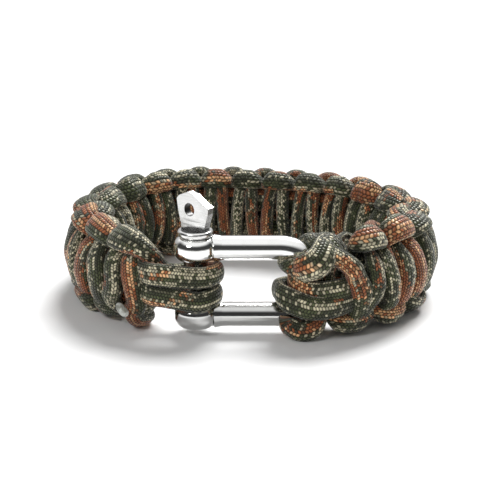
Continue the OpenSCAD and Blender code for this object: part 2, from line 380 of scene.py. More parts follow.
def cordTree(material, c):
    tree = bpy.data.node_groups.new("Cord sweep", "GeometryNodeTree")
    face = tree.interface
    face.new_socket(name="Path", in_out="INPUT", socket_type="NodeSocketGeometry")
    sides = face.new_socket(name="Sides", in_out="INPUT", socket_type="NodeSocketInt")
    softness = face.new_socket(name="Softness", in_out="INPUT", socket_type="NodeSocketFloat")
    sides.default_value = c["sides"]
    softness.default_value = c["softness"]
    face.new_socket(name="Cord", in_out="OUTPUT", socket_type="NodeSocketGeometry")
    given = tree.nodes.new("NodeGroupInput")
    put = tree.nodes.new("NodeGroupOutput")

    def add(kind):
        return tree.nodes.new("GeometryNode" + kind)

    def attribute(name, kind="FLOAT"):
        node = add("InputNamedAttribute")
        node.data_type = kind
        node.inputs["Name"].default_value = name
        return [s for s in node.outputs if s.enabled and s.name == "Attribute"][0]

    def store(geometry, name, kind, domain, value):
        node = add("StoreNamedAttribute")
        node.data_type = kind
        node.domain = domain
        node.inputs["Name"].default_value = name
        wire(tree, geometry, node.inputs["Geometry"])
        wire(tree, value, [s for s in node.inputs if s.enabled and s.name == "Value"][0])
        return node.outputs[0]

    path = add("MeshToCurve")
    wire(tree, given.outputs["Path"], path.inputs["Mesh"])
    line = add("CurvePrimitiveLine")
    line.inputs["End"].default_value = (mm, 0, 0)
    rounds = add("ResampleCurve")
    wire(tree, line.outputs[0], rounds.inputs["Curve"])
    wire(tree, calc(tree, "ADD", given.outputs["Sides"], 1.0), rounds.inputs["Count"])
    factor = add("SplineParameter").outputs["Factor"]
    section = store(rounds.outputs[0], "turn", "FLOAT", "POINT", factor)
    sweep = add("CurveToMesh")
    wire(tree, path.outputs[0], sweep.inputs["Curve"])
    wire(tree, section, sweep.inputs["Profile Curve"])

    # the seam starts on the hidden side of the cord
    angle = calc(tree, "MULTIPLY_ADD", attribute("turn"), 2 * math.pi, math.pi)

    def soft(wave):
        value = calc(tree, wave, angle)
        size = calc(tree, "POWER", calc(tree, "ABSOLUTE", value), given.outputs["Softness"])
        return calc(tree, "MULTIPLY", calc(tree, "SIGN", value), size)

    spot = attribute("centre", "FLOAT_VECTOR")
    for axis, half, wave in (("thinAxis", "halfThick", "COSINE"), ("wideAxis", "halfWide", "SINE")):
        reach = calc(tree, "MULTIPLY", attribute(half), soft(wave))
        reach = scaled(tree, attribute(axis, "FLOAT_VECTOR"), reach)
        spot = calcVector(tree, "ADD", spot, reach).outputs[0]
    place = add("SetPosition")
    wire(tree, sweep.outputs[0], place.inputs["Geometry"])
    wire(tree, spot, place.inputs["Position"])
    mapping = vector(tree, attribute("along"), attribute("turn"), 0.0)
    mapped = store(place.outputs[0], "UVMap", "FLOAT2", "CORNER", mapping)
    weld = add("MergeByDistance")
    weld.inputs["Distance"].default_value = c["weldWithin"]
    wire(tree, mapped, weld.inputs["Geometry"])
    smooth = add("SetShadeSmooth")
    wire(tree, weld.outputs[0], smooth.inputs["Geometry"])
    real = add("RealizeInstances")
    wire(tree, smooth.outputs[0], real.inputs[0])
    dress = add("SetMaterial")
    dress.inputs["Material"].default_value = material
    wire(tree, real.outputs[0], dress.inputs["Geometry"])
    wire(tree, dress.outputs[0], put.inputs["Cord"])
    return tree, sides.identifier, softness.identifier


cordNodes = cordTree(braidedNylon, cordSection)


def unit(v):
    return v / np.maximum(np.linalg.norm(v, axis=-1, keepdims=True), 1e-9)


def runLength(places):
    # length from the first place to each
    return np.concatenate([[0], np.cumsum(np.linalg.norm(np.diff(places, axis=0), axis=1))])


def smoothRows(rows, fine=14):
    # a smooth line through the rows, Catmull-Rom in every column
    rows = np.asarray(rows, float)
    padded = np.vstack([2 * rows[0] - rows[1], rows, 2 * rows[-1] - rows[-2]])
    a, b, c, d = padded[:-3], padded[1:-2], padded[2:-1], padded[3:]
    t = (np.arange(fine) / fine)[None, :, None]
    a, b, c, d = (m[:, None, :] for m in (a, b, c, d))
    out = 0.5 * (2 * b + (c - a) * t + (2 * a - 5 * b + 4 * c - d) * t**2 + (3 * b - a - 3 * c + d) * t**3)
    return np.vstack([out.reshape(-1, rows.shape[1]), rows[-1]])


def evenRows(rows, step, fewest=8):
    # the same line with rows at even steps along its length
    length = runLength(rows[:, :3])
    marks = np.linspace(0, length[-1], max(int(length[-1] / step), fewest))
    return marks, np.stack([np.interp(marks, length, column) for column in rows.T], 1)


def sweepCords(name, lines, start=0.0, sides=None):
    # lines: rows of place x y z, facing x y z, thickness and width, all in mm
    c = cordSection
    points, edges = [], []
    data = {label: [] for label in ("thinAxis", "wideAxis", "halfThick", "halfWide", "along")}
    count = 0
    for n, rows in enumerate(lines):
        marks, even = evenRows(rows, c["step"])
        place = even[:, :3]
        along = unit(np.gradient(place, axis=0))
        facing = even[:, 3:6] - along * np.sum(even[:, 3:6] * along, axis=1, keepdims=True)
        thin = unit(facing)
        wide = np.cross(along, thin)
        # rounded off towards both ends
        end = np.clip(np.minimum(marks, marks[-1] - marks) / c["endLength"], 0, 1)
        cap = np.sqrt(np.clip(1 - (1 - end) ** 2, 0, 1))
        points.append(place * mm)
        edges.append(np.stack([np.arange(len(place) - 1), np.arange(1, len(place))], 1) + count)
        data["thinAxis"].append(thin)
        data["wideAxis"].append(wide)
        data["halfThick"].append(even[:, 6] / 2 * cap * mm)
        data["halfWide"].append(even[:, 7] / 2 * cap * mm)
        data["along"].append((marks + start + n * c["lookShift"]) / c["lookUnit"])
        count += len(place)
    mesh = bpy.data.meshes.new(name)
    points = np.vstack(points)
    mesh.from_pydata(points.tolist(), np.vstack(edges).tolist(), [])
    for label, values in (("centre", [points]), *data.items()):
        values = np.concatenate(values)
        kind, key = ("FLOAT_VECTOR", "vector") if values.ndim == 2 else ("FLOAT", "value")
        stored = mesh.attributes.new(label, kind, "POINT").data
        stored.foreach_set(key, values.ravel().astype(np.float32))
    obj = newObject(name, mesh)
    tree, sidesKey, softnessKey = cordNodes
    modifier = obj.modifiers.new("Cord sweep", "NODES")
    modifier.node_group = tree
    modifier[sidesKey] = sides or c["sides"]
    modifier[softnessKey] = c["softness"]
    swept = obj.evaluated_get(bpy.context.evaluated_depsgraph_get())
    solid = bpy.data.meshes.new_from_object(swept)
    obj.modifiers.clear()
    obj.data = solid
    work = bmesh.new()
    work.from_mesh(solid)
    bmesh.ops.recalc_face_normals(work, faces=work.faces)
    work.to_mesh(solid)
    work.free()
    for label in ("centre", *data, "turn"):
        if label in solid.attributes:
            solid.attributes.remove(solid.attributes[label])
    return obj


# The ring that the band follows, seen from above, as shares of its mean radius
ring = dict(
    meanRadius=32.6,
    middle=(0.29, 0.08),
    waves=((1, -0.019, -0.026), (2, 0.066, -0.037), (3, 0.010, 0.008), (4, -0.019, 0.011)),
    start=303.5,
    end=593.0,
    step=0.25,
)


def ringPoint(turn):
    angle = np.radians(turn)
    r = 1 + sum(c * np.cos(n * angle) + s * np.sin(n * angle) for n, c, s in ring["waves"])
    r = r * ring["meanRadius"]
    x, y = ring["middle"]
    return np.stack([x + r * np.cos(angle), y + r * np.sin(angle)], -1)


# a little over the end, so that the end itself counts
ringTurns = np.arange(ring["start"], ring["end"] + 0.01, ring["step"])
ringRun = runLength(ringPoint(ringTurns))
bandLength = ringRun[-1]


def bandFrame(u):
    # middle line, direction along and direction outward; straight on past both ends
    turn = np.interp(u, ringRun, ringTurns)
    halfDegree = 0.5
    ahead = unit(ringPoint(turn + halfDegree) - ringPoint(turn - halfDegree))
    middle = ringPoint(turn) + ahead * (u - np.clip(u, 0, bandLength))[:, None]
    outward = np.stack([ahead[:, 1], -ahead[:, 0]], 1)
    return middle, ahead, outward


def bandRows(rows, halfWidth):
    # rows of along, across, outward, facing in the same three ways, thickness, width
    middle, ahead, outward = bandFrame(rows[:, 0])
    flat = middle + outward * rows[:, 2:3]
    side = ahead * rows[:, 3:4] + outward * rows[:, 5:6]
    return np.column_stack([flat, halfWidth + rows[:, 1], side, rows[:, 4], rows[:, 6:8]])


# Cobra weave: one cord crosses the outer face at every half knot, its twin the inner face
weave = dict(
    halfWidth=9.9,
    # where each bar crosses the middle, mm along the band from the bow's end
    bars=(
        0.7, 4.3, 7.9, 12.0, 16.9, 22.6, 28.2, 33.8, 39.3, 44.6, 49.7, 54.6, 59.0, 62.8, 66.7, 70.6,
        74.3, 78.1, 81.8, 85.5, 89.2, 93.0, 96.8, 100.7, 104.6, 108.8, 113.1, 117.7, 122.7, 127.9,
        133.4, 139.1, 144.8, 150.5, 156.2, 160.9, 165.4,
    ),
    # bars widen with their pitch, between these shares, and get thinner by this power of it
    usualPitch=4.07,
    barWidths=(0.9, 1.22),
    thinner=0.4,
    # the end bumps change over these lengths from the bow's end and from the pin's
    endReach=(26.0, 30.0),
    endRise=1.6,
    farFrom=32.0,
    farWithin=15.0,
    # the outer side of the ring is longer than the middle
    curveRadius=33.0,
    curveThinning=0.4,
    # how far the outermost bars are pulled along, by height above the middle
    pulled={
        0: ((-8, -0.6), (-4, 0.3), (-1.5, 0.7), (0, 0.5), (3.4, -0.2)),
        1: ((-8, -5.0), (-4, -2.4), (-3.4, -1.9), (0, -0.2), (8, 0.0)),
        34: ((-8, -1.2), (-4, -0.8), (0, 0.0), (4, -0.8), (8, -1.4)),
        35: ((-8, -1.8), (-4, -1.2), (0, 0.0), (4, -1.2), (8, -2.0)),
        36: ((-8, 0.6), (-5, -0.4), (0, 0.0), (4, -0.8), (8, -1.8)),
    },
    pulledOutside=-2.2,
    firstBarWidth=1.22,
    firstBarOutside=2,
    # the tops of the first and last bar are tucked down and inward
    tuckAbove=6,
    tuck=(1.6, 1.2),
    # where on the dye's pattern each cord starts, mm
    dyeStarts=dict(weave_outer_cord=515.0, weave_inner_cord=1157.0),
)

# From an edge bump to the middle of a bar
# columns: pitches along, across, outward, facing along, across, outward, thickness, width
halfBar = (
    (-0.50, 8.45, -2.3, 0.00, 0.93, -0.36, 2.9, 4.6),
    (-0.08, 8.10, -1.9, 0.25, 0.90, -0.36, 2.8, 4.4),
    (0.27, 6.90, 0.4, 0.70, 0.70, 0.10, 2.4, 3.9),
    (0.13, 5.60, 2.7, 0.20, 0.72, 0.70, 3.0, 3.5),
    (0.08, 3.40, 4.2, 0.00, 0.30, 0.95, 3.4, 3.6),
    (0.00, 0.00, 4.9, 0.00, 0.00, 1.00, 3.5, 3.65),
)

# Towards both ends the bumps on the upper outer edge ride higher and nearer the middle
highBump = (
    (-0.50, 10.2, -1.5, 0.00, 0.74, -0.68, 3.4, 5.3),
    (0.10, 8.95, -1.5, 0.72, 0.60, -0.40, 3.1, 4.8),
    (0.36, 6.50, 0.2, 0.85, 0.40, 0.00, 2.5, 4.0),
)

# and the lower ones stand out below the ends of the bars
lowBump = (
    (-0.50, 8.0, -3.1, 0.00, 0.50, -0.86, 3.0, 4.9),
    (0.05, 7.2, -3.0, 0.60, 0.40, -0.70, 2.8, 4.5),
    (0.34, 5.6, -0.2, 0.80, 0.30, -0.20, 2.4, 3.9),
)

# Away from the ends the bumps on the upper inner edge are broad and lean inward
farBump = (
    (-0.50, 8.35, -2.9, 0.00, 0.62, -0.78, 2.9, 5.5),
    (-0.04, 8.15, -2.7, 0.20, 0.60, -0.76, 2.8, 5.2),
    (0.29, 6.80, 0.2, 0.70, 0.70, 0.10, 2.4, 4.0),
)

# Edge bumps beside the bow and the pin that are shaped one by one
# named by cord, 1 for the outer and -1 for the inner, and by the bar after the bump
# columns: along in mm, across, outward, facing along, across, outward, thickness, width; two rows a line
shapedBumps = {
    (-1, 2): (
        (4.6, 5.4, -3.4, -0.2, 0.6, -0.7, 2.4, 2.8), (4, 6.8, -2.6, -0.75, 0.6, -0.2, 2.2, 2.8),
        (3.2, 8.2, -1.2, -0.75, 0.6, 0.3, 2.4, 3.4), (2.8, 9.3, 0.8, -0.45, 0.75, 0.55, 3.3, 5),
        (4.1, 9.9, 1.8, -0.1, 0.72, 0.7, 3.6, 5.6), (6, 9.8, 1.8, 0.1, 0.72, 0.68, 3.5, 5.5),
        (7.6, 8.9, 1, 0.5, 0.7, 0.5, 3.2, 4.9), (8.4, 7.4, -0.7, 0.8, 0.5, 0.1, 2.8, 4.1),
        (8.2, 5.6, -2.9, 0.2, 0.7, -0.7, 2.8, 3.7),
    ),
    (-1, 4): (
        (11.6, 5.4, -3, -0.2, 0.7, -0.7, 2.9, 3.9), (10.9, 7.2, -1.2, -0.75, 0.6, 0, 2.8, 4.3),
        (10.9, 8.9, 0.5, -0.6, 0.65, 0.45, 3.1, 5), (12, 10, 1.6, -0.2, 0.74, 0.65, 3.4, 5.6),
        (14.3, 10.2, 1.9, 0, 0.74, 0.68, 3.4, 5.8), (16.6, 9.6, 1.5, 0.3, 0.7, 0.62, 3.3, 5.4),
        (18, 8.3, 0.4, 0.7, 0.6, 0.3, 3, 4.6), (17.6, 5.6, -2.7, 0.2, 0.7, -0.7, 2.8, 3.9),
    ),
    (-1, 1): (
        (0.4, -5.4, -2.9, -0.2, -0.7, -0.7, 2.8, 3.9), (-1.8, -6.2, -0.8, -0.75, -0.6, 0, 2.6, 3.6),
        (-2.9, -6.4, 1.2, -0.6, -0.5, 0.6, 2.8, 3.8), (-1.8, -6.8, 2.5, -0.3, -0.4, 0.85, 3.1, 4.1),
        (0.6, -7, 2.9, 0, -0.4, 0.9, 3.1, 4.2), (2.7, -6.9, 2.5, 0.1, -0.4, 0.9, 3.1, 4.1),
        (4.5, -6.5, 1.4, 0.5, -0.5, 0.6, 2.9, 3.8), (5.2, -6, -0.6, 0.75, -0.6, 0, 2.6, 3.6),
        (4.5, -5.4, -2.9, 0.2, -0.7, -0.7, 2.8, 3.9),
    ),
    (-1, 3): (
        (7.7, -5.4, -2.9, -0.2, -0.7, -0.7, 2.8, 3.9), (7, -6, -0.6, -0.75, -0.6, 0, 2.6, 3.6),
        (7, -6.3, 1.5, -0.5, -0.5, 0.6, 2.9, 3.9), (8.6, -7, 3, -0.1, -0.4, 0.9, 3.1, 4.2),
        (11, -7.2, 3.2, 0, -0.4, 0.9, 3.1, 4.3), (13, -6.9, 2.2, 0.4, -0.5, 0.7, 2.9, 4.1),
        (13.6, -6.4, -0.2, 0.75, -0.6, 0, 2.6, 3.8), (12.4, -5.4, -2.9, 0.2, -0.7, -0.7, 2.8, 3.9),
    ),
    (1, 3): (
        (8.1, 5.4, 2.9, -0.2, 0.7, 0.7, 2.8, 3.4), (9.2, 7, 0.6, -0.7, 0.7, 0.1, 2, 2.8),
        (10.2, 8.9, -2.4, -0.3, 0.9, -0.3, 1.8, 2.4), (12.2, 9.8, -4.4, 0, 0.93, -0.36, 1.8, 2.4),
        (14.2, 9.4, -4.5, 0.2, 0.93, -0.3, 1.8, 2.4), (14.6, 8.4, -2.4, 0.6, 0.7, -0.1, 1.9, 2.8),
        (13.2, 7, 0.4, 0.7, 0.7, 0.1, 2.4, 3.4), (12.3, 5.4, 2.8, 0.2, 0.7, 0.7, 2.9, 3.5),
    ),
    (1, 1): (
        (-0.6, 5, 4.9, -0.4, 0.6, 0.7, 3.2, 4), (-1.9, 6.4, 4.1, -0.5, 0.6, 0.6, 3.1, 3.8),
        (-3.2, 7.4, 2.8, -0.5, 0.65, 0.5, 2.9, 3.7), (-3.8, 8.2, 0.8, -0.5, 0.75, 0.2, 2.4, 3),
        (-1.8, 8.3, -2.2, -0.3, 0.9, -0.2, 1.6, 2.2), (0.8, 8.6, -4.2, 0, 0.93, -0.36, 1.4, 1.9),
        (3.4, 9, -5, 0, 0.93, -0.36, 1.4, 1.9), (5.4, 8.4, -4.6, 0.4, 0.9, -0.2, 1.4, 1.9),
        (6.3, 7.2, -2.6, 0.7, 0.7, 0, 1.7, 2.3), (6, 6.2, 0, 0.7, 0.7, 0.2, 2.3, 2.9),
        (5, 5.1, 2.6, 0.2, 0.7, 0.7, 2.9, 3.4),
    ),
    (-1, 34): (
        (150.6, 5.4, -3, -0.2, 0.7, -0.7, 2.8, 3.8), (149.3, 7.2, -1.2, -0.75, 0.6, -0.1, 2.8, 4.4),
        (149.2, 8.6, 0.5, -0.6, 0.65, 0.4, 3.1, 5), (150.6, 9.4, 1.5, -0.25, 0.74, 0.62, 3.3, 5.5),
        (152.8, 9.6, 1.9, 0, 0.74, 0.68, 3.3, 5.6), (155, 9, 1.8, 0.2, 0.7, 0.65, 3.2, 5.3),
        (156.9, 7.9, 1.2, 0.6, 0.6, 0.5, 3, 4.7), (157.5, 6.7, -0.4, 0.8, 0.5, 0.1, 2.8, 4.1),
        (156.6, 5.4, -2.9, 0.2, 0.7, -0.7, 2.8, 3.7),
    ),
    (-1, 35): (
        (154.6, -5.2, -2.9, -0.2, -0.7, -0.7, 2.8, 3.7), (152.4, -6, -0.8, -0.75, -0.6, 0, 2.6, 3.6),
        (151.6, -6.5, 0.9, -0.6, -0.5, 0.6, 2.7, 3.7), (152.8, -6.9, 2, -0.2, -0.4, 0.85, 2.9, 3.9),
        (155.4, -6.9, 2.5, 0, -0.4, 0.9, 3, 3.9), (157.8, -6.7, 2.3, 0.1, -0.4, 0.9, 2.9, 3.8),
        (159.8, -6.4, 1.4, 0.5, -0.5, 0.6, 2.7, 3.7), (160.8, -6, -0.4, 0.75, -0.6, 0, 2.6, 3.6),
        (160.4, -5.4, -2.9, 0.2, -0.7, -0.7, 2.8, 3.7),
    ),
    (1, 36): (
        (159.8, -5.4, 2.9, -0.2, -0.7, 0.7, 2.9, 3.6), (159.4, -6.9, 0.4, -0.7, -0.7, 0.1, 2.4, 3.6),
        (160, -8, -1.9, -0.2, -0.9, -0.3, 2.6, 4), (161.8, -8.3, -2.3, 0, -0.93, -0.36, 2.8, 4.2),
        (163.6, -8.3, -1.2, 0.3, -0.9, -0.2, 2.7, 4.2), (164.3, -8.2, 0.9, 0.5, -0.7, 0.4, 2.6, 4.2),
        (164.2, -7.3, 2.6, 0.2, -0.5, 0.8, 2.9, 4.2), (164.4, -5.4, 3.7, 0.1, -0.4, 0.9, 3.2, 4.1),
    ),
    (1, 2): (
        (1.7, -4.8, 3.4, -0.1, -0.72, 0.7, 2.9, 3.4), (0.9, -5.8, 1.4, -0.7, -0.7, 0.1, 2.4, 3.4),
        (2.4, -7.4, -1.6, -0.2, -0.9, -0.36, 2.8, 4), (6.1, -8.2, -2.4, 0, -0.93, -0.36, 2.9, 4.4),
        (8.2, -7.4, -2, 0.2, -0.9, -0.36, 2.8, 4.2), (8.5, -5.9, 0.4, 0.7, -0.7, 0.1, 2.4, 3.5),
        (8, -4.7, 2.7, 0.1, -0.72, 0.7, 2.9, 3.4),
    ),
    (1, 4): (
        (11.7, -4.7, 2.7, -0.1, -0.72, 0.7, 2.9, 3.4), (11.2, -5.9, 0.4, -0.7, -0.7, 0.1, 2.4, 3.5),
        (12.3, -7.6, -2, -0.2, -0.9, -0.36, 2.8, 4.2), (14.4, -8.2, -2.4, 0, -0.93, -0.36, 2.9, 4.4),
        (16.6, -7.8, -2, 0.2, -0.9, -0.36, 2.8, 4.2), (17.5, -6.4, 0.4, 0.7, -0.7, 0.1, 2.4, 3.6),
        (17.1, -5.2, 2.8, 0.1, -0.72, 0.7, 2.9, 3.5),
    ),
}

# The last upper bump of the twin cord: over the last bars and down between the pin's loops
lastBump = (
    (160.2, 5.4, -3.0, -0.2, 0.7, -0.7, 2.8, 3.8),
    (158.6, 6.9, -1.4, -0.75, 0.6, -0.1, 2.8, 4.4),
    (157.9, 8.2, 0.4, -0.65, 0.65, 0.4, 3.0, 5.2),
    (159.2, 8.9, 1.7, -0.3, 0.72, 0.62, 3.2, 5.8),
    (161.6, 9.1, 2.4, 0.0, 0.66, 0.75, 3.3, 5.9),
    (163.9, 8.8, 2.7, 0.15, 0.55, 0.82, 3.2, 5.4),
    (165.9, 8.0, 2.7, 0.35, 0.5, 0.8, 3.0, 4.6),
    (167.3, 6.9, 2.3, 0.6, 0.45, 0.65, 2.8, 3.9),
    (168.1, 5.6, 1.4, 0.85, 0.3, 0.35, 2.6, 3.4),
    (168.2, 4.2, 0.0, 1.0, 0.0, 0.2, 2.5, 3.2),
    (168.0, 2.4, -1.2, 1.0, -0.2, 0.0, 2.4, 3.2),
)

# Its cut end: down the inner face and out below the last bar
tailEnd = (
    (164.0, -5.4, -2.9, 0.2, -0.7, -0.7, 2.7, 3.5),
    (164.4, -6.1, -1.0, 0.8, -0.5, 0.0, 2.5, 3.5),
    (164.5, -6.7, 0.6, 0.8, -0.3, 0.5, 2.5, 3.6),
    (164.2, -7.4, 1.6, 0.5, -0.2, 0.8, 2.5, 3.6),
    (163.6, -7.9, 2.0, 0.2, -0.1, 0.9, 2.5, 3.5),
)


def barRows(w, face, k):
    # face is 1 for the cord on the outer face and -1 for its twin, turned half round
    places = np.array(w["bars"])
    pitch = np.gradient(places)[k]
    widening = np.clip(pitch / w["usualPitch"], *w["barWidths"])
    upward = 1 if k % 2 == 0 else -1
    inland = (places[k], places[-1] - places[k])
    fromBow, fromPin = w["endReach"]
    nearEnd = max(1 - inland[0] / fromBow, 1 - inland[1] / fromPin, 0)
    last = len(halfBar) - 1
    rows = []
    for side in (-1, 1):
        raised = np.clip(nearEnd * w["endRise"], 0, 1) if face < 0 else 0
        bump = highBump if side * upward < 0 else lowBump
        if face > 0 and side * upward > 0:
            raised = np.clip((min(inland) - w["farFrom"]) / w["farWithin"], 0, 1)
            bump = farBump
        # up to the middle of the bar, then back from it without the middle and the next bump
        for n in range(last + 1) if side < 0 else range(last - 1, 0, -1):
            row = np.array(halfBar[n])
            if n < len(bump):
                row = row + (np.array(bump[n]) - row) * raised
            du, v, out, fu, fv, fo, thick, wide = row
            here = places[k] - side * du * pitch
            if n == 0:
                here = (places[k - 1] + places[k]) / 2 if k else places[0] - pitch / 2
            facing = (-side * fu, side * upward * fv, fo)
            rows.append([here, side * upward * v, out, *facing, thick, wide * widening])
    rows = np.array(rows)
    rows[:, 6] /= widening ** w["thinner"]
    if k in w["pulled"] and face > 0:
        heights, shifts = zip(*w["pulled"][k])
        pulled = np.interp(rows[:, 1], heights, shifts)
        rows[:, 0] += np.where(rows[:, 2] > w["pulledOutside"], pulled, 0)
    if k == 0 and face > 0:
        rows[:, 7] *= np.where(rows[:, 2] > w["firstBarOutside"], w["firstBarWidth"], 1)
    if k in (0, len(places) - 1) and face > 0:
        top = rows[:, 1] > w["tuckAbove"]
        rows[top, 1] -= w["tuck"][0]
        rows[top, 2] -= w["tuck"][1]
    rows[:, [1, 2, 4, 5]] *= face
    rows[:, 7] *= 1 + rows[:, 2] / w["curveRadius"]
    rows[:, 6] *= 1 - rows[:, 2] / w["curveRadius"] * w["curveThinning"]
    return rows


def makeWeave(w):
    count = len(w["bars"])
    bars = {face: [barRows(w, face, k) for k in range(count)] for face in (1, -1)}
    # the twin cord starts on the inner face, behind the first bar
    bars[-1][0] = bars[-1][0][3:]
    # a shaped bump takes the place of the rows that lead over the edge
    for (face, k), rows in shapedBumps.items():
        bars[face][k - 1] = bars[face][k - 1][:-3]
        bars[face][k] = np.vstack([rows, bars[face][k][4:]])
    outer = [bars[1]]
    *twin, beforeLast, lastBar = bars[-1]
    inner = [twin + [beforeLast[:-3], np.array(lastBump)], [lastBar[4:-3], np.array(tailEnd)]]
    made = []
    for (name, start), cords in zip(w["dyeStarts"].items(), (outer, inner)):
        lines = [bandRows(smoothRows(np.vstack(rows)), w["halfWidth"]) for rows in cords]
        made.append(sweepCords(name, lines, start))
    return made


# Four core cords inside the weave, two by two; all in mm
coreCords = dict(
    across=2.0,
    outward=1.45,
    thickness=2.8,
    width=4.0,
    # from a little before the band to a little past it
    before=1.5,
    past=2,
    step=2.5,
    # away from both ends they lie wider apart and are wider
    widening=(2, 9),
    moreAcross=1.0,
    moreWidth=1.2,
    dyeStart=400.0,
    sides=12,
)

